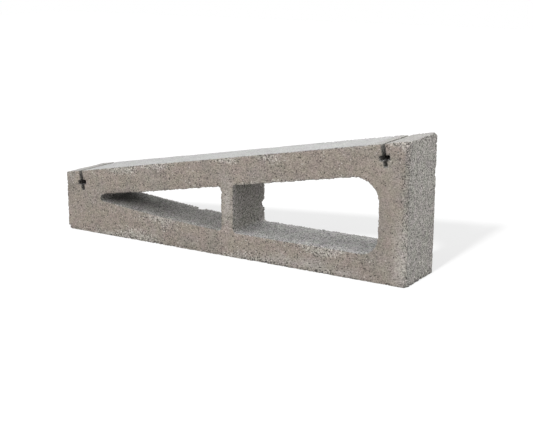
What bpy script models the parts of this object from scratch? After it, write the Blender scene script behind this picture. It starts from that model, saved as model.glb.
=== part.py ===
"""A solar ballast mount: one pressed concrete wedge that carries the edges of tilted
solar modules and holds them down by its own weight.

X runs from the low end to the high end, Y from the front face to the back and Z up.
The origin is the middle of the underside. All lengths are in metres.
"""

import math

import bmesh
import bpy
from mathutils import Matrix, Vector

# Outline of the block
BLOCK_LENGTH = 1.130
BLOCK_WIDTH = 0.164
LOW_END_HEIGHT = 0.176
TILT = math.radians(10.0)
END_RADIUS = 0.004
ARRIS_RADIUS = 0.0025

# Chords, post and web round the two windows
TOP_CHORD_DEPTH = 0.0775
BOTTOM_CHORD_DEPTH = 0.071
HIGH_POST_THICKNESS = 0.0825
WEB_THICKNESS = 0.038
WEB_FROM_LOW_END = 0.5865

# Low window: a wedge with a round nose, whose floor falls more gently past a knee
NOSE_FROM_LOW_END = 0.130
NOSE_RADIUS = 0.0096
KNEE_FROM_LOW_END = 0.375
KNEE_RISE = 0.0095
KNEE_RADIUS = 1.5
WEB_FILLET = 0.0125

# High window: wide fillets at the post, a sharp one under the roof at the web
POST_HEAD_FILLET = 0.0635
POST_FOOT_FILLET = 0.051
WEB_HEAD_FILLET = 0.004

# Clamp slots: a neck square to the slope, a cross bar for the clamp's plate, and a
# blind tail that clears the end of its bolt
LOW_SLOT_FROM_END = 0.0548
HIGH_SLOT_FROM_END = 0.0766
NECK_WIDTH = 0.0095
BAR_WIDTH = 0.028
BAR_HEIGHT = 0.011
BAR_ROOF_DEPTH = 0.0303
SLOT_DEPTH = 0.0585

# Corners broken off: how far the break reaches along X, Y and Z
LOW_FOOT_BREAKS = ((0.0065, 0.045, 0.0155), (0.0155, 0.045, 0.0065))
HIGH_FOOT_BREAK = (0.007, 0.010, 0.008)
HIGH_HEAD_BREAK = (0.014, 0.017, 0.010)

# Chips out of the back arrises: the size of the lost flake along X, Y and Z
WEB_CHIP = (0.017, 0.026, 0.021)
WEB_CHIP_HEIGHT = 0.123
FLOOR_CHIP = (0.030, 0.022, 0.010)
FLOOR_CHIP_PAST_KNEE = 0.010
END_CHIP = (0.010, 0.012, 0.027)
END_CHIP_HEIGHT = 0.273

# Drawing quality
ARC_STEP = math.radians(6.0)
ARRIS_SEGMENTS = 2
SHARP_ANGLE = math.radians(35.0)
OVERRUN = 0.010
WELD_DISTANCE = 0.00001

CONCRETE_COLOUR = (0.27, 0.25, 0.225, 1.0)
CONCRETE_ROUGHNESS = 0.92

FRONT = -BLOCK_WIDTH / 2
BACK = BLOCK_WIDTH / 2


def clear_scene():
    for item in list(bpy.data.objects):
        bpy.data.objects.remove(item, do_unlink=True)


def new_collection(name):
    made = bpy.data.collections.new(name)
    bpy.context.scene.collection.children.link(made)
    return made


def concrete_material():
    material = bpy.data.materials.new("pressed_concrete")
    material.use_nodes = True
    shader = material.node_tree.nodes["Principled BSDF"]
    shader.inputs["Base Color"].default_value = CONCRETE_COLOUR
    shader.inputs["Roughness"].default_value = CONCRETE_ROUGHNESS
    shader.inputs["Metallic"].default_value = 0.0
    return material


def top_height(x):
    """Height of the sloping top face, x being counted from the low end."""
    return LOW_END_HEIGHT + x * math.tan(TILT)


def roof_height(x):
    """Height of the windows' roof, which is parallel to the top face."""
    return top_height(x) - TOP_CHORD_DEPTH / math.cos(TILT)


def rounded(corners):
    """Outline through (x, z, radius) corners, with an arc tangent to both sides at each."""
    points = []
    for i, (x, z, radius) in enumerate(corners):
        corner = Vector((x, z))
        before = (Vector(corners[i - 1][:2]) - corner).normalized()
        after = (Vector(corners[(i + 1) % len(corners)][:2]) - corner).normalized()
        inner = before.angle(after)
        turn = math.pi - inner
        centre = corner + (before + after).normalized() * radius / math.sin(inner / 2)
        start = corner + before * radius / math.tan(inner / 2) - centre
        way = math.copysign(turn, -before.cross(after))
        steps = max(2, math.ceil(turn / ARC_STEP))
        for k in range(steps + 1):
            points.append(centre + Matrix.Rotation(way * k / steps, 2) @ start)
    return points


def add_mesh(name, mesh, into):
    made = bpy.data.objects.new(name, mesh)
    into.objects.link(made)
    return made


def mesh_of(shape, name):
    mesh = bpy.data.meshes.new(name)
    shape.to_mesh(mesh)
    shape.free()
    return mesh


def prism(name, loops, width, into):
    """Solid of outlines in the XZ plane, as wide as width across Y; inner loops are holes."""
    curve = bpy.data.curves.new(name + "_outline", "CURVE")
    curve.dimensions = "2D"
    curve.fill_mode = "BOTH"
    curve.extrude = width / 2
    for loop in loops:
        spline = curve.splines.new("POLY")
        spline.points.add(len(loop) - 1)
        spline.use_cyclic_u = True
        for spot, (x, z) in zip(spline.points, loop):
            spot.co = (x, z, 0, 1)
    outline = bpy.data.objects.new(name + "_outline", curve)
    outline.rotation_euler.x = math.pi / 2
    into.objects.link(outline)
    bpy.context.view_layer.update()

    graph = bpy.context.evaluated_depsgraph_get()
    raw = bpy.data.meshes.new_from_object(outline.evaluated_get(graph))
    shape = bmesh.new()
    shape.from_mesh(raw)
    bmesh.ops.remove_doubles(shape, verts=shape.verts, dist=WELD_DISTANCE)
    bmesh.ops.recalc_face_normals(shape, faces=shape.faces)
    solid = add_mesh(name, mesh_of(shape, name), into)
    solid.matrix_world = outline.matrix_world.copy()
    bpy.data.objects.remove(outline, do_unlink=True)
    return solid


def block_outline():
    return rounded([
        (0, 0, END_RADIUS),
        (BLOCK_LENGTH, 0, END_RADIUS),
        (BLOCK_LENGTH, top_height(BLOCK_LENGTH), END_RADIUS),
        (0, top_height(0), END_RADIUS),
    ])


def low_window():
    web_face = WEB_FROM_LOW_END - WEB_THICKNESS / 2
    knee = Vector((KNEE_FROM_LOW_END, BOTTOM_CHORD_DEPTH + KNEE_RISE))
    nose_x = NOSE_FROM_LOW_END + NOSE_RADIUS
    nose = Vector((nose_x, roof_height(nose_x) - NOSE_RADIUS / math.cos(TILT)))
    # The floor leaves the knee as a tangent to the underside of the nose
    run = knee.x - nose.x
    rise = nose.y - knee.y
    fall = math.tan(math.atan2(rise, run) - math.asin(NOSE_RADIUS / math.hypot(run, rise)))
    # Roof and floor would meet here if the nose were sharp
    tip = (knee.y + knee.x * fall - roof_height(0)) / (math.tan(TILT) + fall)
    return rounded([
        (tip, roof_height(tip), NOSE_RADIUS),
        (knee.x, knee.y, KNEE_RADIUS),
        (web_face, BOTTOM_CHORD_DEPTH, WEB_FILLET),
        (web_face, roof_height(web_face), WEB_FILLET),
    ])


def high_window():
    web_face = WEB_FROM_LOW_END + WEB_THICKNESS / 2
    post_face = BLOCK_LENGTH - HIGH_POST_THICKNESS
    return rounded([
        (web_face, BOTTOM_CHORD_DEPTH, WEB_FILLET),
        (post_face, BOTTOM_CHORD_DEPTH, POST_FOOT_FILLET),
        (post_face, roof_height(post_face), POST_HEAD_FILLET),
        (web_face, roof_height(web_face), WEB_HEAD_FILLET),
    ])


def slot_outline():
    """Cross-shaped slot, about the point where its centre line meets the top face."""
    neck = NECK_WIDTH / 2
    bar = BAR_WIDTH / 2
    bar_floor = BAR_ROOF_DEPTH + BAR_HEIGHT
    side = [
        (neck, OVERRUN),
        (neck, -BAR_ROOF_DEPTH),
        (bar, -BAR_ROOF_DEPTH),
        (bar, -bar_floor),
        (neck, -bar_floor),
        (neck, -SLOT_DEPTH),
    ]
    return side + [(-x, z) for x, z in reversed(side)]


def cut(target, cutter):
    cutter.hide_render = True
    cutter.display_type = "WIRE"
    boolean = target.modifiers.new(cutter.name, "BOOLEAN")
    boolean.operation = "DIFFERENCE"
    boolean.object = cutter


def cut_slots(block, into):
    places = {
        "low_clamp_slot": LOW_SLOT_FROM_END * math.cos(TILT),
        "high_clamp_slot": BLOCK_LENGTH - HIGH_SLOT_FROM_END * math.cos(TILT),
    }
    for name, x in places.items():
        slot = prism(name, [slot_outline()], BLOCK_WIDTH + 2 * OVERRUN, into)
        mouth = Matrix.Translation((x - BLOCK_LENGTH / 2, 0, top_height(x)))
        slot.matrix_world = mouth @ Matrix.Rotation(-TILT, 4, "Y") @ slot.matrix_world
        cut(block, slot)


def break_corner(block, name, corner, reach, into):
    """Takes a corner off flat; reach is signed, pointing along X, Y and Z into the block."""
    normal = Vector((1 / reach[0], 1 / reach[1], 1 / reach[2]))
    depth = 1 / normal.length
    side = 2 * max(abs(length) for length in reach)
    shape = bmesh.new()
    bmesh.ops.create_cube(shape, size=side)
    cutter = add_mesh(name, mesh_of(shape, name), into)
    cutter.rotation_euler = normal.to_track_quat("Z", "Y").to_euler()
    cutter.location = Vector(corner) + normal.normalized() * (depth - side / 2)
    cut(block, cutter)


def break_corners(block, into):
    low = -BLOCK_LENGTH / 2
    high = BLOCK_LENGTH / 2
    for i, (x, y, z) in enumerate(LOW_FOOT_BREAKS):
        break_corner(block, f"low_foot_break_{i}", (low, FRONT, 0), (x, y, z), into)
    x, y, z = HIGH_FOOT_BREAK
    break_corner(block, "high_foot_break", (high, FRONT, 0), (-x, y, z), into)
    x, y, z = HIGH_HEAD_BREAK
    head = (high, BACK, top_height(BLOCK_LENGTH))
    break_corner(block, "high_head_break", head, (-x, -y, -z), into)


def round_arrises(block):
    arris = block.modifiers.new("arris", "BEVEL")
    arris.limit_method = "ANGLE"
    arris.angle_limit = SHARP_ANGLE
    arris.width = ARRIS_RADIUS
    arris.segments = ARRIS_SEGMENTS


def chip_arrises(block, into):
    """Hollows left in the back arrises by lost flakes, each drawn as an uneven ball."""
    knee_height = BOTTOM_CHORD_DEPTH + KNEE_RISE
    chips = {
        "web_chip": (WEB_CHIP, WEB_FROM_LOW_END + WEB_THICKNESS / 2, WEB_CHIP_HEIGHT),
        "floor_chip": (FLOOR_CHIP, KNEE_FROM_LOW_END + FLOOR_CHIP_PAST_KNEE, knee_height),
        "end_chip": (END_CHIP, BLOCK_LENGTH, END_CHIP_HEIGHT),
    }
    for name, (size, x, z) in chips.items():
        shape = bmesh.new()
        bmesh.ops.create_icosphere(shape, subdivisions=2, radius=0.5)
        bmesh.ops.scale(shape, vec=size, verts=shape.verts)
        flake = add_mesh(name, mesh_of(shape, name), into)
        flake.location = (x - BLOCK_LENGTH / 2, BACK, z)
        cut(block, flake)


def build():
    clear_scene()
    parts = new_collection("solar_ballast_mount")
    cutters = new_collection("cutters")

    loops = [block_outline(), low_window(), high_window()]
    block = prism("ballast_block", loops, BLOCK_WIDTH, parts)
    block.location.x = -BLOCK_LENGTH / 2
    block.data.materials.append(concrete_material())
    cut_slots(block, cutters)
    round_arrises(block)
    break_corners(block, cutters)
    chip_arrises(block, cutters)
    block.data.set_sharp_from_angle(angle=SHARP_ANGLE)


build()
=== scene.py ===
# Solar ballast mount: one block of dry-pressed concrete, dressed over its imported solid.
import math
import bmesh
import bpy
import numpy as np
from mathutils import Matrix, Vector, kdtree


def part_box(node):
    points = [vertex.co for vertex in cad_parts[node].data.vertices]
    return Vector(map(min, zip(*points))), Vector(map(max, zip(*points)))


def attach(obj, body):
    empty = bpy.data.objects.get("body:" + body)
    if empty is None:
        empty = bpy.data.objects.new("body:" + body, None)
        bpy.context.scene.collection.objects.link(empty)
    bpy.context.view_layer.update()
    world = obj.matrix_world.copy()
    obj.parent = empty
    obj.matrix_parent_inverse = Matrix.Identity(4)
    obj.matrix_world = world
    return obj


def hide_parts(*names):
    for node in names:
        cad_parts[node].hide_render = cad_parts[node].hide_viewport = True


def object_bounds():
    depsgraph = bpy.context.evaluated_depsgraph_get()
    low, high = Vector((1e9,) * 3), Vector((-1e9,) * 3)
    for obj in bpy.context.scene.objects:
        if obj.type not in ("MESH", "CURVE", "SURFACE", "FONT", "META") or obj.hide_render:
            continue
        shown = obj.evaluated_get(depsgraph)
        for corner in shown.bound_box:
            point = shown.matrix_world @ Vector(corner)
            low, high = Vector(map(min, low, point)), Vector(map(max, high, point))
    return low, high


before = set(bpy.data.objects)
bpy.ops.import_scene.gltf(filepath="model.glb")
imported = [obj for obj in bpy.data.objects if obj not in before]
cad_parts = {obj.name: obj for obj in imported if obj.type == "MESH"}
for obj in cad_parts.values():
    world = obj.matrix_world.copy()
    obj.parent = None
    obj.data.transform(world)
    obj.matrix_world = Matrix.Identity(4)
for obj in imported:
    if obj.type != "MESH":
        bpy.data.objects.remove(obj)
cadLow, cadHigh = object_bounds()
print("frame loaded")

millimetre = 0.001


# sRGB hex to the linear colour that a socket holds
def toLinear(hexColour):
    channels = [int(hexColour[i:i + 2], 16) / 255 for i in (1, 3, 5)]
    linear = [c / 12.92 if c <= 0.04045 else ((c + 0.055) / 1.055) ** 2.4 for c in channels]
    return (*linear, 1.0)


# adds a node with its settings; an input that is a node or a socket is linked, any other is a value
def addNode(tree, kind, inputs=(), **settings):
    node = tree.nodes.new("ShaderNode" + kind)
    for name, value in settings.items():
        setattr(node, name, value)
    for name, value in inputs.items() if isinstance(inputs, dict) else enumerate(inputs):
        if isinstance(value, bpy.types.Node):
            value = next(socket for socket in value.outputs if socket.enabled)
        if isinstance(value, bpy.types.NodeSocket):
            tree.links.new(value, node.inputs[name])
        else:
            node.inputs[name].default_value = value
    return node


# puts data in the scene as an object
def placed(name, data, matrix=Matrix.Identity(4)):
    made = bpy.data.objects.new(name, data)
    made.matrix_world = matrix
    bpy.context.scene.collection.objects.link(made)
    return made


# the turn that points a camera or a lamp along a direction
def lookingAlong(direction):
    return Vector(direction).to_track_quat("-Z", "Y").to_matrix().to_4x4()


# camera, at the photograph's viewpoint
cameraPlace = {
    "position": (1.61441, -2.41098, 0.81949),
    "aim": (0.10048, -0.00252, 0.11834),
    "roll": 0.0011,            # radians
    "lens": 71.14,             # mm on a 36 mm sensor
    "clipEnd": 60,
}
cameraData = bpy.data.cameras.new("photoCamera")
cameraData.sensor_width = 36
cameraData.sensor_fit = "HORIZONTAL"
cameraData.lens = cameraPlace["lens"]
cameraData.clip_end = cameraPlace["clipEnd"]
sight = Vector(cameraPlace["aim"]) - Vector(cameraPlace["position"])
turn = lookingAlong(sight) @ Matrix.Rotation(cameraPlace["roll"], 4, "Z")
camera = placed("photoCamera", cameraData, Matrix.Translation(cameraPlace["position"]) @ turn)
bpy.context.scene.camera = camera
print("camera placed")


# block: the solid's own form, gone over as the press leaves it: ragged arrises, chips and pits.
# Lengths and places are in metres: X along the block, Y to its back, Z up.
blockShape = {
    "seed": 41,
    "voxel": 0.0018,           # finer than one image pixel, 2.7 mm
    "triangles": 195000,
    "slope": 10.0,             # degrees
    "sandHeight": 0.0002,      # coarse sand standing in the faces
    "sandSize": 0.0030,
    "waveHeight": 0.0004,      # slow unevenness of a pressed face
    "waveSize": 0.030,
    "proud": 0.0004,           # the faces' lift that makes up for what sand and dicing take away

    # arrises
    "arrisReach": 0.0045,      # how far from an arris its raggedness goes
    "liftReach": 0.0035,       # the same for its lift
    "roundReach": 0.0065,      # and for its rounding, where the lift is below zero
    "lumpLoss": 0.0021,        # most that lumps take from an arris, and their spacing
    "lumpSize": 0.0056,
    "toothLoss": 0.0015,       # the same for the grit that stands in it like teeth
    "toothSize": 0.0034,
    "lumpContrast": 3.0,       # of the noise behind both, and what is taken off it for level ground
    "lumpFloor": 1.2,
    # lift of the diced arris (below zero: rubbed round), and shares of lumps, teeth and chips
    "wear": {
        "slot": (0.0, 0.10, 0.60, 0.1),
        "top": (0.0018, 0.35, 0.45, 0.5),
        "floor": (-0.0020, 0.4, 0.6, 0.5),
        "sill": (-0.0004, 0.5, 0.8, 0.8),
        "roof": (0.0018, 0.8, 1.2, 1.5),
        "foot": (0.0030, 0.8, 1.4, 1.6),
        "lowEnd": (0.0030, 2.6, 1.3, 0.8),
        "nose": (-0.0046, 0.7, 1.0, 1.0),
        "jamb": (0.0018, 0.9, 1.2, 1.2),
        "other": (0.0018, 0.5, 0.7, 0.8),
    },

    # where each kind of arris is
    "squarely": 0.4,           # how squarely it looks up, down or along to count as doing so
    "noseSquarely": 0.3,
    "roofsAbove": 0.12,        # Z
    "floorsBelow": 0.125,
    "footBelow": 0.02,
    "topAbove": 0.17,
    "sillPast": 0.05,          # X; the floor past it is the high window's
    "jambsWithin": 0.5,        # X either way
    "endsPast": 0.55,
    "noseAt": -0.365,          # X of the nose's roof, and half its length
    "noseHalf": 0.05,
    "brokenFoot": ((-0.345, -0.160), (0.070, 0.220), (0.300, 0.360)),    # X where it has lost most
    "brokenFront": -0.070,     # Y in front of which those stretches lie, and Z below which
    "brokenBelow": 0.03,

    # chips
    "chips": 360,
    "chipRadius": (0.0026, 0.0066),
    "chipDepth": (0.0010, 0.0032),
    "chipDeepest": 0.7,        # of its radius
    "chipScatter": 0.0012,
    # least share of its radius, how much more there can be, and over what length that changes
    "chipUneven": (0.86, 0.28, 0.004),
    "chipSearch": 1.15,        # of its radius, within which points can move
    "brokenChips": 5,          # how much likelier a chip is in the broken foot

    # pits, and larger hollows where a stone has fallen out, whose dark is painted shade in the
    # material
    "pits": 2600,
    "pitRadius": (0.0014, 0.0032),
    "pitDepth": (0.0007, 0.0021),
    "pitsNearArris": 5.0,      # how much likelier a pit is there, and how far from it
    "pitsReach": 0.009,
    "pitsSpared": 0.5,         # share that is missing in sleek stretches
    "hollows": 760,
    "hollowRadius": (0.0017, 0.0030),
    "hollowDepth": (0.0014, 0.0030),
    "hollowsScuffed": 12,      # how much likelier in scuffs
    "hollowsPitted": 4,        # at pitted arrises
    "hollowsBroken": 38,       # and in the broken foot's sole
    "soleBelow": 0.007,        # Z
    "hollowsSparedUp": 0.8,    # share that is missing on what looks up, and in sleek stretches
    "hollowsSpared": 0.7,
    "pittedReach": 0.007,      # from the pitted arrises, which are the top's and the high end's
    "pittedFull": 0.25,        # X from which they are fully so

    # clamp slots, whose walls came crisp off the slot bars of the mould
    "slots": (                 # X and Z of each one's mouth and end
        ((-0.5110, 0.1855), (-0.5009, 0.1279)),
        ((0.4896, 0.3620), (0.4997, 0.3043)),
    ),
    "slotBar": 0.016,          # half the width that holds all corners of a slot
    "slotMargin": 0.001,
    "slotMouth": 0.02,         # depth above which its corners only move aside
    "slotRoofShare": 0.6,      # share of its depth above which the next corners are the bar's roof
    "slotHalfWidth": 0.0060,   # of the line of painted shade across the top
    "slotWorn": 0.0010,        # how far use has rubbed their walls back
    "slotReach": 0.026,        # how far from the slot its calm goes
    "slotFading": 3,           # of so many parts of that reach, the calm fades over the last one
    "slotCalm": 0.85,
    "slotArrises": 0.7,        # shares of that reach in which arrises and walls are the slot's
    "slotWalls": 0.65,
    "slotShadeStart": 0.0002,   # depth behind the side faces where a wall's painted shade starts
    "slotShadeFade": 0.0008,    # and over which it comes in
    "slotRimFade": 3,          # how soon it ends where the wall turns into the top
    "highSlotShade": 0.5,       # share of the low slot's painted shade

    # top face
    "topHeight": 0.1760,       # of the top face over the low end
    "topTeeth": 0.0003,        # how far anything stands above that face
    "topTeethMore": 3,         # how many times that is added at the high end
    "topSag": 0.0013,          # how far that face dips in its slow waves
    "topSagSize": 0.050,
    "topSagLost": 0.8,         # share of those dips that the high end lacks
    "topTurn": 0.35,           # X where the high end's kind of top is reached
    "topSkin": 0.012,          # depth that counts as the top face
    "topEnds": (-0.490, 0.440),    # X past which the top is browner
    "topEndsFade": 0.030,      # length over which it turns so

    # how far the material's marks reach
    "arrisMark": 0.012,        # distance over which an arris's mark fades
    "quietUprights": 0.3,      # share of that mark on upright arrises
    "quietWindows": 0.6,       # and on the windows' jambs and floors
    "lowFloorPaintedLight": 0.55,      # how pale the low window's floor is painted, as a share of the high one's: painted shade, for the less light that reaches it
    "footMark": 0.0045,        # height over which the foot's mark fades
    "footUnbroken": 0.5,       # share of that mark where the foot isn't broken
    "highEndDepth": 0.016,     # how deep the high end's own tone goes
    "highEndFade": 0.006,
    "noseShade": (-0.405, 0.045, 0.5),    # X, reach and strength of the painted shade deep in the low window's nose
    "noseFrom": -0.46,         # X past which, and Z between which, a wall is the nose's
    "noseHeights": (0.08, 0.19),
    "noseSideways": 0.5,       # most that such a wall looks to the front or back

    # patches: middle, and reach along X and Z
    "patchDepth": 0.012,
    "sleeks": (                # smooth stretches, where the mould wall pressed the paste hardest
        ((0.493, -0.082, 0.185), 0.046, 0.120),
        ((0.500, 0.082, 0.170), 0.046, 0.110),
        ((-0.200, 0.082, 0.050), 0.120, 0.020),
    ),
    "blooms": (                # smooth pale patches of lime
        ((0.200, -0.082, 0.015), 0.080, 0.012),
        ((0.290, -0.082, 0.019), 0.055, 0.015),
        ((0.390, -0.082, 0.011), 0.050, 0.008),
        ((0.550, -0.082, 0.060), 0.023, 0.100),
        ((0.022, -0.082, 0.150), 0.017, 0.070),
        ((-0.130, 0.082, 0.012), 0.060, 0.013),
        ((0.390, 0.082, 0.013), 0.050, 0.014),
        ((-0.490, 0.082, 0.030), 0.040, 0.020),
        ((0.548, 0.082, 0.210), 0.026, 0.090),
    ),
    "scuffs": (                # patches rubbed open, where grains and pores show
        ((-0.305, -0.082, 0.012), 0.060, 0.018),
        ((-0.400, -0.082, 0.004), 0.045, 0.008),
        ((0.150, -0.082, 0.005), 0.110, 0.009),
        ((0.325, -0.082, 0.005), 0.030, 0.008),
        ((0.325, -0.082, 0.062), 0.050, 0.014),
        ((0.535, -0.082, 0.366), 0.030, 0.008),
        ((-0.385, -0.082, 0.203), 0.022, 0.010),
        ((-0.335, -0.082, 0.211), 0.032, 0.013),
        ((-0.265, -0.082, 0.225), 0.025, 0.007),
        ((-0.220, -0.082, 0.230), 0.035, 0.008),
        ((0.015, -0.082, 0.273), 0.035, 0.008),
        ((0.150, -0.082, 0.296), 0.045, 0.008),
        ((-0.215, -0.082, 0.076), 0.060, 0.006),
        ((0.420, 0.082, 0.335), 0.055, 0.012),
        ((-0.330, 0.082, 0.200), 0.070, 0.010),
    ),
}


# smooth noise from 0 to 1 on a lattice of the given spacing, the same on every run
def latticeNoise(points, spacing, seed, tableSize=65536, shift=1000.37):
    table = np.random.default_rng(seed).random(tableSize).astype(np.float32)
    place = points / spacing + shift
    corner = np.floor(place).astype(np.int64)
    part = (place - corner).astype(np.float32)
    part = part * part * (3 - 2 * part)
    total = np.zeros(len(points), np.float32)
    for offset in np.ndindex(2, 2, 2):
        key = (corner + offset) * (73856093, 19349663, 83492791)    # primes that scatter the cells
        weight = np.prod(np.where(offset, part, 1 - part), axis=1)
        total += weight * table[(key[:, 0] ^ key[:, 1] ^ key[:, 2]) & (tableSize - 1)]
    return total


# the same noise as separate lumps with level ground between them
def lumpNoise(points, spacing, seed, shape):
    noise = latticeNoise(points, spacing, seed)
    return np.clip(noise * shape["lumpContrast"] - shape["lumpFloor"], 0, 1)


# evenly spaced points along the convex arrises of a mesh, with their outward directions and turns
def arrisPoints(mesh, spacing=0.003, leastTurn=math.radians(4)):
    faces = {}
    for polygon in mesh.polygons:
        for key in polygon.edge_keys:
            faces.setdefault(key, []).append(polygon)
    places, outwards, turns = [], [], []
    for (a, b), pair in faces.items():
        if len(pair) != 2:
            continue
        first, second = pair
        bend = first.normal.angle(second.normal, 0)
        if bend < leastTurn or (second.center - first.center).dot(first.normal) > 0:
            continue
        start, end = mesh.vertices[a].co, mesh.vertices[b].co
        steps = max(1, round((end - start).length / spacing))
        for i in range(steps):
            places.append(start.lerp(end, (i + 0.5) / steps))
            outwards.append((first.normal + second.normal).normalized())
            turns.append(bend * (end - start).length / steps)
    return np.array(places), np.array(outwards), np.array(turns)


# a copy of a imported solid's mesh whose faces share their points again
def joinedMesh(mesh, weld=1e-6):
    work = bmesh.new()
    work.from_mesh(mesh)
    bmesh.ops.remove_doubles(work, verts=work.verts, dist=weld)
    joined = bpy.data.meshes.new("joined")
    work.to_mesh(joined)
    work.free()
    return joined


# moves the corners of the clamp slots outwards, which leaves each slot wider all round
def openSlots(mesh, shape):
    worn, margin = shape["slotWorn"], shape["slotMargin"]
    for start, end in np.array(shape["slots"]):
        depth = np.linalg.norm(end - start)
        along = (end - start) / depth
        across = np.array((-along[1], along[0]))
        for vertex in mesh.vertices:
            offset = np.array((vertex.co.x, vertex.co.z)) - start
            down, side = offset @ along, offset @ across
            if abs(side) > shape["slotBar"] or not -margin < down < depth + margin:
                continue
            if down < shape["slotMouth"]:
                deeper = 0
            elif down < shape["slotRoofShare"] * depth:
                deeper = -worn
            else:
                deeper = worn
            moved = start + (down + deeper) * along + (side + math.copysign(worn, side)) * across
            vertex.co.x, vertex.co.z = moved


def treeOf(points):
    tree = kdtree.KDTree(len(points))
    for i, place in enumerate(points):
        tree.insert(place, i)
    tree.balance()
    return tree


# the evaluated mesh of an object with one modifier on it
def shapedBy(mesh, kind, **settings):
    worker = placed("worker", mesh)
    modifier = worker.modifiers.new(kind, kind)
    for name, value in settings.items():
        setattr(modifier, name, value)
    graph = bpy.context.evaluated_depsgraph_get()
    result = bpy.data.meshes.new_from_object(worker.evaluated_get(graph))
    bpy.data.objects.remove(worker)
    return result


def vectorsOf(source, name):
    values = np.empty(len(source) * 3, np.float32)
    source.foreach_get(name, values)
    return values.reshape(-1, 3).astype(np.float64)


# how far each point is from the clamp slots' middle lines, seen from the front
def slotDistance(points, slots):
    nearest = np.full(len(points), np.inf)
    for start, end in np.array(slots):
        along = end - start
        offset = points[:, [0, 2]] - start
        part = np.clip(offset @ along / (along @ along), 0, 1)
        nearest = np.minimum(nearest, np.linalg.norm(offset - part[:, None] * along, axis=1))
    return nearest


# which arris points are on the windows' upright sides
def atJamb(places, outwards, shape):
    upright = np.abs(outwards[:, 2]) < shape["squarely"]
    return upright & (np.abs(places[:, 0]) < shape["jambsWithin"])


# the wear of every point on the arrises, by the way that it looks and where it is
def arrisWear(places, outwards, shape):
    kinds, squarely = shape["wear"], shape["squarely"]
    alongX, height = places[:, 0], places[:, 2]
    upward, downward = outwards[:, 2] > squarely, outwards[:, 2] < -squarely
    onFloor = upward & (height < shape["floorsBelow"])
    atNose = (height > shape["roofsAbove"]) & (outwards[:, 2] < -shape["noseSquarely"])
    nearSlot = slotDistance(places, shape["slots"]) < shape["slotArrises"] * shape["slotReach"]
    wear = np.tile(kinds["other"], (len(places), 1))
    for kind, chosen in (
        ("jamb", atJamb(places, outwards, shape)),
        ("top", upward),
        ("roof", downward & (height > shape["roofsAbove"])),
        ("floor", onFloor),
        ("sill", onFloor & (alongX > shape["sillPast"])),
        ("foot", downward & (height < shape["footBelow"])),
        ("lowEnd", (outwards[:, 0] < -squarely) & (alongX < -shape["endsPast"])),
        ("nose", atNose & (np.abs(alongX - shape["noseAt"]) < shape["noseHalf"])),
        ("slot", nearSlot),
    ):
        wear[chosen] = kinds[kind]
    return wear


# whether each point is in a broken stretch of the front's foot
def atBrokenFoot(points, shape):
    alongX = points[:, 0]
    stretches = [(alongX > start) & (alongX < end) for start, end in shape["brokenFoot"]]
    inFront = (points[:, 1] < shape["brokenFront"]) & (points[:, 2] < shape["brokenBelow"])
    return np.any(stretches, axis=0) & inFront


# 1 in the middle of each patch on a list, falling to 0 around it
def patchAt(points, patches, depth):
    strongest = np.zeros(len(points))
    for middle, reachX, reachZ in patches:
        offset = (points - middle) / (reachX, depth, reachZ)
        strongest = np.maximum(strongest, np.exp(-(offset ** 2).sum(axis=1)))
    return strongest


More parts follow.
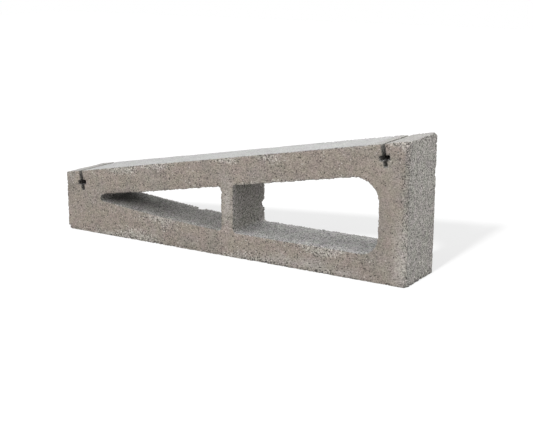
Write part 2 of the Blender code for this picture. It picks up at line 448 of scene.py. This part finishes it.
def pressedSurface(solid, shape):
    dice = np.random.default_rng(shape["seed"])
    joined = joinedMesh(solid.data)
    openSlots(joined, shape)
    places, outwards, turns = arrisPoints(joined)
    wear = arrisWear(places, outwards, shape)
    fine = shapedBy(joined, "REMESH", mode="VOXEL", voxel_size=shape["voxel"])
    points = vectorsOf(fine.vertices, "co")
    normals = vectorsOf(fine.vertex_normals, "vector")
    alongX, height = points[:, 0], points[:, 2]
    arrisTree = treeOf(places)
    nearArris = [arrisTree.find(p)[1:] for p in points]
    owner = np.array([index for index, _ in nearArris])
    distance = np.array([away for _, away in nearArris])
    print("block diced into", len(points), "points")

    # beside a clamp slot all of this is calmer
    slotAway = slotDistance(points, shape["slots"]) / shape["slotReach"]
    fading = shape["slotFading"]
    rough = 1 - shape["slotCalm"] * np.clip(fading - fading * slotAway, 0, 1)

    # slow waves, coarse sand and ragged arrises
    lift, lumpShare, toothShare, _ = wear[owner].T
    near = np.exp(-(distance / shape["arrisReach"]) ** 2)
    wave = latticeNoise(points, shape["waveSize"], 1)
    sand = latticeNoise(points, shape["sandSize"], 2)
    lump = lumpNoise(points, shape["lumpSize"], 3, shape)
    tooth = lumpNoise(points, shape["toothSize"], 4, shape)
    liftReach = np.where(lift > 0, shape["liftReach"], shape["roundReach"])
    inward = shape["waveHeight"] * wave + shape["sandHeight"] * sand - shape["proud"]
    inward -= lift * np.exp(-(distance / liftReach) ** 2)
    lumpCut = shape["lumpLoss"] * lumpShare * lump
    toothCut = shape["toothLoss"] * toothShare * tooth
    inward += near * (lumpCut + toothCut)
    moved = points - normals * (inward * rough)[:, None]

    # chips broken out of the arrises, each a rough hollow of a ball
    pointTree = treeOf(points)
    leastRadius, moreRadius, unevenSize = shape["chipUneven"]
    likely = turns * wear[:, 3] * np.where(atBrokenFoot(places, shape), shape["brokenChips"], 1)
    for i in dice.choice(len(places), shape["chips"], p=likely / likely.sum()):
        radius = dice.uniform(*shape["chipRadius"])
        depth = min(dice.uniform(*shape["chipDepth"]), shape["chipDeepest"] * radius)
        scatter = dice.normal(0, shape["chipScatter"], 3)
        centre = places[i] + outwards[i] * (radius - depth) + scatter
        around = pointTree.find_range(centre, radius * shape["chipSearch"])
        found = np.array([j for _, j, _ in around], int)
        if not len(found):
            continue
        away = moved[found] - centre
        reach = np.linalg.norm(away, axis=1)
        rim = radius * (leastRadius + moreRadius * latticeNoise(points[found], unevenSize, 5))
        inside = reach < rim
        moved[found[inside]] = centre + away[inside] * (rim / np.maximum(reach, 1e-6))[inside, None]

    # which parts are the top face and the pitted arrises, read from the solid's unbroken faces
    low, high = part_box(solid.name)
    slope = math.tan(math.radians(shape["slope"]))
    onTop = height - alongX * slope > high.z - high.x * slope - shape["topSkin"]
    lookingUp = np.clip(normals[:, 2], 0, 1) ** 2
    alongTop = (places[:, 2] > shape["topAbove"]) & (outwards[:, 2] > shape["squarely"])
    atHighEnd = (outwards[:, 0] > shape["squarely"]) & (places[:, 0] > shape["endsPast"])
    pitted = np.where(alongTop | atHighEnd, 1.0, 0.0)[owner]
    pitted *= np.exp(-distance / shape["pittedReach"])
    pitted *= np.clip(alongX / shape["pittedFull"], 0, 1) * np.sqrt(rough)
    scuffed = patchAt(points, shape["scuffs"], shape["patchDepth"])
    sleek = patchAt(points, shape["sleeks"], shape["patchDepth"])
    bloomed = patchAt(points, shape["blooms"], shape["patchDepth"])
    brokenFoot = atBrokenFoot(points, shape)

    # pits, where a grain of sand has come away, and the hollows that stones have left. Both shun
    # the slots, more than the rest of the roughness does, so it counts three times over
    pitChance = (1 - shape["pitsSpared"] * sleek) * rough ** 3
    pitChance *= 1 + shape["pitsNearArris"] * np.exp(-distance / shape["pitsReach"])
    inSole = brokenFoot * (height < shape["soleBelow"])
    hollowChance = 1 + shape["hollowsScuffed"] * scuffed + shape["hollowsPitted"] * pitted
    hollowChance = rough ** 3 * (hollowChance + shape["hollowsBroken"] * inSole)
    notUpward = 1 - shape["hollowsSparedUp"] * lookingUp
    hollowChance *= notUpward * (1 - shape["hollowsSpared"] * sleek)
    hollow = np.zeros(len(points))
    for kind, chance in (("pit", pitChance), ("hollow", hollowChance)):
        for i in dice.choice(len(points), shape[kind + "s"], p=chance / chance.sum()):
            radius = dice.uniform(*shape[kind + "Radius"])
            depth = dice.uniform(*shape[kind + "Depth"])
            for _, j, far in pointTree.find_range(points[i], radius):
                moved[j] -= normals[i] * depth * (1 - (far / radius) ** 2)
                # the hollows are marked so that the material paints them dark, as painted shade
                if kind == "hollow":
                    hollow[j] = max(hollow[j], 1 - (far / radius) ** 3)

    # the top face in its slow waves, with little standing above it; all stays in the solid's box
    aboveTop = moved[:, 2] - shape["topHeight"] - (moved[:, 0] - low.x) * slope
    towardsHigh = np.clip(alongX / shape["topTurn"], 0, 1)
    teeth = shape["topTeeth"] * (1 + shape["topTeethMore"] * towardsHigh)
    sag = shape["topSag"] * latticeNoise(points, shape["topSagSize"], 6)
    sag = sag * (1 - shape["topSagLost"] * towardsHigh)
    moved[:, 2] -= np.clip(aboveTop - teeth + sag, 0, None)
    moved = np.clip(moved, np.array(low), np.array(high))
    fine.vertices.foreach_set("co", moved.astype(np.float32).ravel())
    fine.update()

    faces = sum(len(p.vertices) - 2 for p in fine.polygons)
    thinned = shapedBy(fine, "DECIMATE", ratio=min(1, shape["triangles"] / faces))
    kept = np.clip(vectorsOf(thinned.vertices, "co"), np.array(low), np.array(high))
    thinned.vertices.foreach_set("co", kept.astype(np.float32).ravel())
    thinned.update()
    print("block thinned from", faces, "to", len(thinned.polygons), "triangles")

    # which arrises are marked less
    quiet = np.where(np.abs(outwards[:, 2]) < shape["squarely"], shape["quietUprights"], 1.0)
    quiet[atJamb(places, outwards, shape)] = shape["quietWindows"]
    onFloor = (places[:, 2] < shape["floorsBelow"]) & (outwards[:, 2] > shape["squarely"])
    quiet[onFloor] = shape["quietWindows"]

    # painted shade on the slots' walls and in the low window's nose
    inSlot = slotAway * shape["slotReach"] < shape["slotHalfWidth"]
    behindFace = (high.y - shape["slotShadeStart"] - np.abs(points[:, 1])) / shape["slotShadeFade"]
    slotShade = (slotAway < shape["slotWalls"]) * np.clip(behindFace, 0, 1)
    slotShade *= np.where(inSlot, 1, np.clip(1 - shape["slotRimFade"] * lookingUp * onTop, 0, 1))
    slotShade *= np.where(alongX > 0, shape["highSlotShade"], 1)
    # painted shade deep in the low window's nose, where little light reaches
    noseLow, noseHigh = shape["noseHeights"]
    noseX, noseReach, noseStrength = shape["noseShade"]
    inNose = (height > noseLow) & (height < noseHigh) & (alongX > shape["noseFrom"]) & ~onTop
    inNose &= np.abs(normals[:, 1]) < shape["noseSideways"]
    noseShade = noseStrength * np.exp(-((alongX - noseX) / noseReach) ** 2) * inNose

    # what the material needs to know of each place
    topLow, topHigh = shape["topEnds"]
    pastSlots = np.maximum(topLow - alongX, alongX - topHigh) / shape["topEndsFade"]
    # painted light on the window floors, less in the low window for the shade deep in it
    towardsSill = np.clip(alongX / shape["sillPast"], 0, 1)
    paintedFloorLight = shape["lowFloorPaintedLight"] + (1 - shape["lowFloorPaintedLight"]) * towardsSill
    footShare = np.where(brokenFoot, 1, shape["footUnbroken"])
    intoHighEnd = (shape["highEndDepth"] - high.x + alongX) / shape["highEndFade"]
    marks = {
        "mouldFace": np.abs(normals[:, 1]) ** 2,
        # partly painted light from above, by how squarely the top looks up
        "topFace": lookingUp * onTop,
        "topEnds": onTop * np.clip(pastSlots, 0, 1),
        # painted light: upward faces in the windows are paler, as light from above makes them
        "windowFloorLight": lookingUp * ~onTop * paintedFloorLight,
        "nearArris": np.exp(-distance / shape["arrisMark"]) * rough * quiet[owner],
        # painted shade in the clamp slots and in the low window's nose
        "slotAndNoseShade": slotShade + noseShade,
        # the foot, painted darker for the shade under the block, and given more grains and pores
        "foot": np.exp(-height / shape["footMark"]) * footShare,
        # painted shade in the hollows
        "hollow": hollow,
        "pitted": pitted,
        "bloomed": bloomed,
        "scuffed": scuffed,
        "sleek": sleek,
        "highEnd": np.clip(intoHighEnd, 0, 1),
    }
    movedTree = treeOf(moved)
    nearest = np.array([movedTree.find(v.co)[1] for v in thinned.vertices])
    for name, values in marks.items():
        layer = thinned.attributes.new(name, "FLOAT", "POINT")
        layer.data.foreach_set("value", values[nearest].astype(np.float32))
    thinned.shade_smooth()
    return thinned


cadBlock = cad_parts["ballast_block"]
pressedBlock = placed("pressedBlock", pressedSurface(cadBlock, blockShape))
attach(pressedBlock, "root")
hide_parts("ballast_block")
print("block shaped")


# dry-pressed concrete: earth-moist mix rammed in a steel mould and lifted out at once.
# The eye sees matt open sand with dark pores and pale grains, browner where the mould wall
# smeared the paste, greyer and coarser where cores and end plates drew away, palest on top.
# That paleness on top is partly the pressed top itself and partly painted light from above.
# The window floors are painted paler as light from above, and the slots, the low window's
# nose, the foot and the hollows are painted darker as shade.
concreteLook = {
    "mould": "#988E85",
    "core": "#8A8783",
    # the top's paleness: partly the pressed top, partly painted light from above
    "top": "#999999",
    # painted light from above on the upward faces in the windows
    "windowFloorLight": "#9C9B9A",
    "rubbed": "#ABA69F",       # arrises, where handling took the skin of paste off
    "lime": "#B1ABA6",         # that the damp block brought to its face
    # dark of the pores, and of the painted shade in the slots, the nose, the foot and the hollows
    "poreAndShade": "#2E2A26",
    "paleGrain": "#D9D3CA",
    "greenish": "#FCFFFA",
    "pinkish": "#FFFCFE",
    "roughness": 0.95,
    "ior": 1.5,

    # cloudy patterns: size in mm, detail, the range of the noise that counts, and what it becomes
    "clouds": {
        "skin": (85.0, 3.0, 0.36, 0.56, 0.6, 1.0),     # where the skin of paste is whole
        "lime": (14.0, 2.0, 0.3, 0.6, 0.6, 0.85),
        "rub": (12.0, 2.0, 0.3, 0.7, -0.25, 0.25),
        "rubDrift": (110.0, 2.0, 0.35, 0.65, -0.25, 0.20),
        "mottle": (26.0, 2.0, 0.35, 0.65, 0.0, 1.0),
        "blotch": (60.0, 4.0, 0.3, 0.7, 0.94, 1.06),
        "streak": (9.0, 2.0, 0.3, 0.7, -0.05, 0.05),   # on the top
        "ragged": (1.6, 2.0, 0.3, 0.7, -0.07, 0.07),   # outlines of pores and pale grains
        "gritty": (2.2, 2.0, 0.0, 1.0, 0.0, 0.8),      # relief
    },
    # spacing in mm of the grains of sand, the pale grains among them and the pores. Real sand is
    # 0.5 to 2 mm and a pore about 1 mm wide; all are drawn coarser so that they show
    "cells": {"sand": 2.2, "grain": 6.5, "pore": 4.6},
    # what is left of a share where a mark of the block is full
    "fades": {
        "mouldAtEnd": ("highEnd", 0.25),
        "topAtItsEnds": ("topEnds", 0.35),
        "rubbedOnTop": ("topFace", 0.0),
        "rubbedOnFloors": ("windowFloorLight", 0.2),
        "sandOnTop": ("topFace", 0.30),
        "sandOnSleek": ("sleek", 0.65),
        "spotsOnTop": ("topFace", 0.25),
        "spotsOnLime": ("bloomed", 0.4),
        "spotsOnSleek": ("sleek", 0.45),
    },
    "sandContrast": 0.82,
    "mouldContrast": 0.50,     # share of that contrast on the smeared faces
    "scuffLime": 0.8,          # share of a bloom's lime that a scuff shows
    "rubbedBy": {"scuffed": 0.9, "bloomed": -0.85, "pitted": -1.0},
    "rubbedRange": (0.45, 0.85),    # sum of marks and clouds where rubbing starts and is full
    "rubbedStrength": 0.55,
    # how dark the foot is painted, as painted shade under the block
    "footShade": 0.24,
    # how dark the slots and the low window's nose are painted, as painted shade
    "slotShade": 0.56,

    # pale grains and pores: radius in cells, shares of the cells that hold one, and strength
    "grain": {
        "radius": 0.33, "onCore": 0.04, "onMould": 0.12, "onRubbed": 0.40,
        "onEdge": 0.75,        # in scuffs and along the foot
        "strength": 0.72,
    },
    "pore": {
        "radius": 0.36, "onCore": 0.17, "onMould": 0.12, "onRubbed": 0.35,
        "onEdge": 0.90,        # along the foot, and along the top's arrises at the high end
        "strength": 0.78,
    },
    "scuffPores": 0.5,         # of those on an edge
    "spotSizes": (0.7, 1.3),   # of the radius
    "spotBlur": 0.08,
    "pickBlur": 0.06,
    # how dark the hollows are painted, as painted shade
    "hollowShade": 0.85,
    "grainTop": 0.7,           # distance from a grain's middle, in cells, where its relief ends
    "bumpStrength": 0.7,
    "bumpHeight": 0.0006,      # metres
}


def pressedConcrete(look):
    material = bpy.data.materials.new("dryPressedConcrete")
    material.use_nodes = True
    tree = material.node_tree
    tree.nodes.clear()
    place = addNode(tree, "TexCoord").outputs["Object"]

    marks, clouds, cells, fades = {}, {}, {}, {}
    for name in ("mouldFace", "topFace", "topEnds", "windowFloorLight", "nearArris", "slotAndNoseShade", "foot",
                 "hollow", "pitted", "bloomed", "scuffed", "sleek", "highEnd"):
        marks[name] = addNode(tree, "Attribute", attribute_name=name).outputs["Fac"]
    for name, (size, detail, fromLow, fromHigh, toLow, toHigh) in look["clouds"].items():
        inputs = {"Vector": place, "Scale": 1 / (size * millimetre), "Detail": detail}
        clouds[name] = addNode(tree, "MapRange", {
            "Value": addNode(tree, "TexNoise", inputs),
            "From Min": fromLow, "From Max": fromHigh, "To Min": toLow, "To Max": toHigh,
        })
    for name, size in look["cells"].items():
        inputs = {"Vector": place, "Scale": 1 / (size * millimetre)}
        cells[name] = addNode(tree, "TexVoronoi", inputs)
    for name, (mark, left) in look["fades"].items():
        inputs = {"Value": marks[mark], "To Min": 1.0, "To Max": left}
        fades[name] = addNode(tree, "MapRange", inputs)

    # lime, in blooms and where scuffs have opened the face
    lime = addNode(tree, "Math", [marks["scuffed"], look["scuffLime"]], operation="MULTIPLY")
    lime = addNode(tree, "Math", [marks["bloomed"], lime], operation="MAXIMUM")
    lime = addNode(tree, "Math", [lime, clouds["lime"]], operation="MULTIPLY")
    lime = addNode(tree, "Math", [lime, marks["mouldFace"]], operation="MULTIPLY")

    # arrises rubbed bare, in patches
    rubbed = addNode(tree, "Math", [marks["nearArris"], clouds["rub"]], operation="ADD")
    rubbed = addNode(tree, "Math", [rubbed, clouds["rubDrift"]], operation="ADD")
    for mark, weight in look["rubbedBy"].items():
        rubbed = addNode(tree, "Math", [marks[mark], weight, rubbed], operation="MULTIPLY_ADD")
    start, full = look["rubbedRange"]
    rubbed = addNode(tree, "MapRange", {"Value": rubbed, "From Min": start, "From Max": full})
    rubbed = addNode(tree, "Math", [rubbed, fades["rubbedOnTop"]], operation="MULTIPLY")
    rubbed = addNode(tree, "Math", [rubbed, fades["rubbedOnFloors"]], operation="MULTIPLY")
    bare = addNode(tree, "Math", [rubbed, look["rubbedStrength"]], operation="MULTIPLY")

    # tone of each kind of face, laid over the core's; the skin of paste is thin and grey in patches
    mould = addNode(tree, "Math", [marks["mouldFace"], fades["mouldAtEnd"]], operation="MULTIPLY")
    skin = addNode(tree, "Math", [mould, clouds["skin"]], operation="MULTIPLY")
    top = addNode(tree, "Math", [marks["topFace"], fades["topAtItsEnds"]], operation="MULTIPLY")
    tone = toLinear(look["core"])
    # the window floors' tone is painted light from above, and the top's is partly so
    for share, colour in ((skin, "mould"), (marks["windowFloorLight"], "windowFloorLight"), (top, "top"),
                          (lime, "lime"), (bare, "rubbed")):
        inputs = {0: share, 6: tone, 7: toLinear(look[colour])}
        tone = addNode(tree, "Mix", inputs, data_type="RGBA")

    # a breath of green and of pink in patches, as damp and cement left them
    inputs = {0: clouds["mottle"], 6: toLinear(look["greenish"]), 7: toLinear(look["pinkish"])}
    inputs = {0: 1.0, 6: tone, 7: addNode(tree, "Mix", inputs, data_type="RGBA")}
    tone = addNode(tree, "Mix", inputs, data_type="RGBA", blend_type="MULTIPLY")

    # sand: every grain its own brightness, with most contrast where no wall smeared it
    inputs = {"Value": mould, "To Min": 1.0, "To Max": look["mouldContrast"]}
    openness = addNode(tree, "MapRange", inputs)
    openness = addNode(tree, "Math", [openness, fades["sandOnTop"]], operation="MULTIPLY")
    openness = addNode(tree, "Math", [openness, fades["sandOnSleek"]], operation="MULTIPLY")
    pick = addNode(tree, "SeparateColor", {"Color": cells["sand"].outputs["Color"]}).outputs["Red"]
    inputs = {"Value": pick, "To Min": -look["sandContrast"], "To Max": look["sandContrast"]}
    grains = addNode(tree, "MapRange", inputs)
    grains = addNode(tree, "Math", [grains, openness], operation="MULTIPLY")
    streak = addNode(tree, "Math", [clouds["streak"], marks["topFace"]], operation="MULTIPLY")
    brightness = addNode(tree, "Math", [grains, clouds["blotch"]], operation="ADD")
    brightness = addNode(tree, "Math", [brightness, streak], operation="ADD")
    tone = addNode(tree, "VectorMath", {"Vector": tone, "Scale": brightness}, operation="SCALE")

    # painted shade along the foot, in the clamp slots and in the low window's nose
    paintedShade = addNode(tree, "Math", [marks["slotAndNoseShade"], look["slotShade"]], operation="MULTIPLY")
    paintedShade = addNode(tree, "Math", [marks["foot"], look["footShade"], paintedShade], operation="MULTIPLY_ADD")

    # ragged spots in some cells of a pattern, more of them on rubbed arrises and along edges
    calm = addNode(tree, "Math", [fades["spotsOnTop"], fades["spotsOnLime"]], operation="MULTIPLY")
    calm = addNode(tree, "Math", [calm, fades["spotsOnSleek"]], operation="MULTIPLY")
    paleEdge = addNode(tree, "Math", [marks["foot"], marks["scuffed"]], operation="MAXIMUM")
    # the foot's extra dark pores are partly real pits and partly painted shade under the block
    poreEdge = addNode(tree, "Math", [marks["foot"], marks["pitted"]], operation="ADD")
    inputs = [marks["scuffed"], look["scuffPores"], poreEdge]
    poreEdge = addNode(tree, "Math", inputs, operation="MULTIPLY_ADD")
    spots, shown = {}, {}
    for kind, edge in (("grain", paleEdge), ("pore", poreEdge)):
        spot, pattern = look[kind], cells[kind]
        inputs = {"Value": mould, "To Min": spot["onCore"], "To Max": spot["onMould"]}
        share = addNode(tree, "MapRange", inputs)
        share = addNode(tree, "Math", [rubbed, spot["onRubbed"], share], operation="MULTIPLY_ADD")
        share = addNode(tree, "Math", [edge, spot["onEdge"], share], operation="MULTIPLY_ADD")
        share = addNode(tree, "Math", [share, calm], operation="MULTIPLY")
        pick = addNode(tree, "SeparateColor", {"Color": pattern.outputs["Color"]})
        smallest, largest = (spot["radius"] * size for size in look["spotSizes"])
        inputs = {"Value": pick.outputs["Red"], "To Min": smallest, "To Max": largest}
        reach = addNode(tree, "MapRange", inputs)
        inputs = [pattern.outputs["Distance"], clouds["ragged"]]
        away = addNode(tree, "Math", inputs, operation="ADD")
        soft = []
        for value, limit, blur in ((reach, away, look["spotBlur"]),
                                   (share, pick.outputs["Green"], look["pickBlur"])):
            over = addNode(tree, "Math", [value, limit], operation="SUBTRACT")
            inputs = {"Value": over, "From Min": -blur / 2, "From Max": blur / 2}
            soft.append(addNode(tree, "MapRange", inputs))
        spots[kind] = addNode(tree, "Math", soft, operation="MULTIPLY")
        shown[kind] = addNode(tree, "Math", [spots[kind], spot["strength"]], operation="MULTIPLY")
    # the hollows painted dark, as painted shade
    hollow = addNode(tree, "Math", [marks["hollow"], look["hollowShade"]], operation="MULTIPLY")
    # painted shade and pores take the dark colour, grains the pale one
    for share, colour in ((paintedShade, "poreAndShade"), (shown["grain"], "paleGrain"), (shown["pore"], "poreAndShade"),
                          (hollow, "poreAndShade")):
        inputs = {0: share, 6: tone, 7: toLinear(look[colour])}
        tone = addNode(tree, "Mix", inputs, data_type="RGBA")

    # relief too fine for the mesh
    relief = addNode(tree, "MapRange", {
        "Value": cells["sand"].outputs["Distance"],
        "From Max": look["grainTop"], "To Min": 1.0, "To Max": 0.0,
    })
    relief = addNode(tree, "Math", [relief, clouds["gritty"]], operation="ADD")
    relief = addNode(tree, "Math", [relief, spots["pore"]], operation="SUBTRACT")
    bump = {"Height": relief, "Strength": look["bumpStrength"], "Distance": look["bumpHeight"]}
    shader = addNode(tree, "BsdfPrincipled", {
        "Base Color": tone,
        "Roughness": look["roughness"],
        "IOR": look["ior"],
        "Normal": addNode(tree, "Bump", bump),
    })
    addNode(tree, "OutputMaterial", {"Surface": shader})
    return material


pressedBlock.data.materials.clear()
pressedBlock.data.materials.append(pressedConcrete(concreteLook))
print("concrete made")


# studio: white paper floor, matt and even, a pale room and soft lamps
studio = {
    "floorHalf": 9.0,
    "floorGlow": 0.65,
    "paperSeen": "#868686",    # the paper's own white where the camera sees it, under its glow
    "paperThrown": "#959595",  # and as it throws light back
    "white": "#FFFFFF",
    "ambient": 0.86,
    "lamps": {                 # towards, distance, size in metres and watts
        "sideSoft": ((1.0, -0.05, 0.55), 3.2, 2.4, 35.0),
        "overhead": ((0.15, 0.0, 1.0), 3.2, 2.6, 56.0),
        "frontSoft": ((-0.30, -1.0, 0.80), 3.6, 1.8, 34.0),
        "backSoft": ((-0.4, 1.2, 0.85), 4.0, 2.0, 32.0),
    },
    "sunAlong": (0.004, 0.852, -0.524),
    "sunSpread": 7.0,          # degrees
    "blockSun": 0.12,
    "floorSun": 5.75,          # lights the floor alone, for the block's shadow on it
}


# 1 to the camera, to gloss and to glass, 0 to everything else
def seenDirectly(tree):
    path = addNode(tree, "LightPath")
    total = path.outputs["Is Camera Ray"]
    for name in ("Is Glossy Ray", "Is Transmission Ray"):
        total = addNode(tree, "Math", [total, path.outputs[name]], operation="ADD", use_clamp=True)
    return total


# room: white where it is seen, softer where it lights
world = bpy.data.worlds.new("paleRoom")
bpy.context.scene.world = world
world.use_nodes = True
tree = world.node_tree
tree.nodes.clear()
white = toLinear(studio["white"])
soft = addNode(tree, "Background", {"Color": white, "Strength": studio["ambient"]})
plain = addNode(tree, "Background", {"Color": white, "Strength": 1.0})
room = addNode(tree, "MixShader", [seenDirectly(tree), soft, plain])
addNode(tree, "OutputWorld", {"Surface": room})

half = studio["floorHalf"]
corners = [(-half, -half, 0), (half, -half, 0), (half, half, 0), (-half, half, 0)]
floorMesh = bpy.data.meshes.new("paperFloor")
floorMesh.from_pydata(corners, [], [(0, 1, 2, 3)])
paperFloor = placed("paperFloor", floorMesh)
paper = bpy.data.materials.new("mattPaper")
paper.use_nodes = True
tree = paper.node_tree
tree.nodes.clear()
thrown = addNode(tree, "BsdfDiffuse", {"Color": toLinear(studio["paperThrown"])})
seen = addNode(tree, "BsdfDiffuse", {"Color": toLinear(studio["paperSeen"])})
glow = addNode(tree, "Emission", {"Strength": studio["floorGlow"]})
lit = addNode(tree, "AddShader", [seen, glow])
ground = addNode(tree, "MixShader", [seenDirectly(tree), thrown, lit])
addNode(tree, "OutputMaterial", {"Surface": ground})
floorMesh.materials.append(paper)


# puts a lamp in the scene that lights one object alone
def addLamp(name, kind, matrix, lit, **settings):
    data = bpy.data.lights.new(name, kind)
    for key, value in settings.items():
        setattr(data, key, value)
    receivers = bpy.data.collections.new(name + "Receivers")
    receivers.objects.link(lit)
    placed(name, data, matrix).light_linking.receiver_collection = receivers


# a lamp's place at the given distance, facing the middle of the block
def facing(towards, distance):
    direction = Vector(towards).normalized()
    middle = (cadLow + cadHigh) / 2
    return Matrix.Translation(middle + direction * distance) @ lookingAlong(-direction)


for name, (towards, distance, size, power) in studio["lamps"].items():
    addLamp(name, "AREA", facing(towards, distance), pressedBlock,
            energy=power, shape="DISK", size=size)
sunTurn, spread = lookingAlong(studio["sunAlong"]), math.radians(studio["sunSpread"])
for name, lit in (("blockSun", pressedBlock), ("floorSun", paperFloor)):
    addLamp(name, "SUN", sunTurn, lit, energy=studio[name], angle=spread)
bpy.context.scene.view_settings.view_transform = "Standard"
print("studio lit")
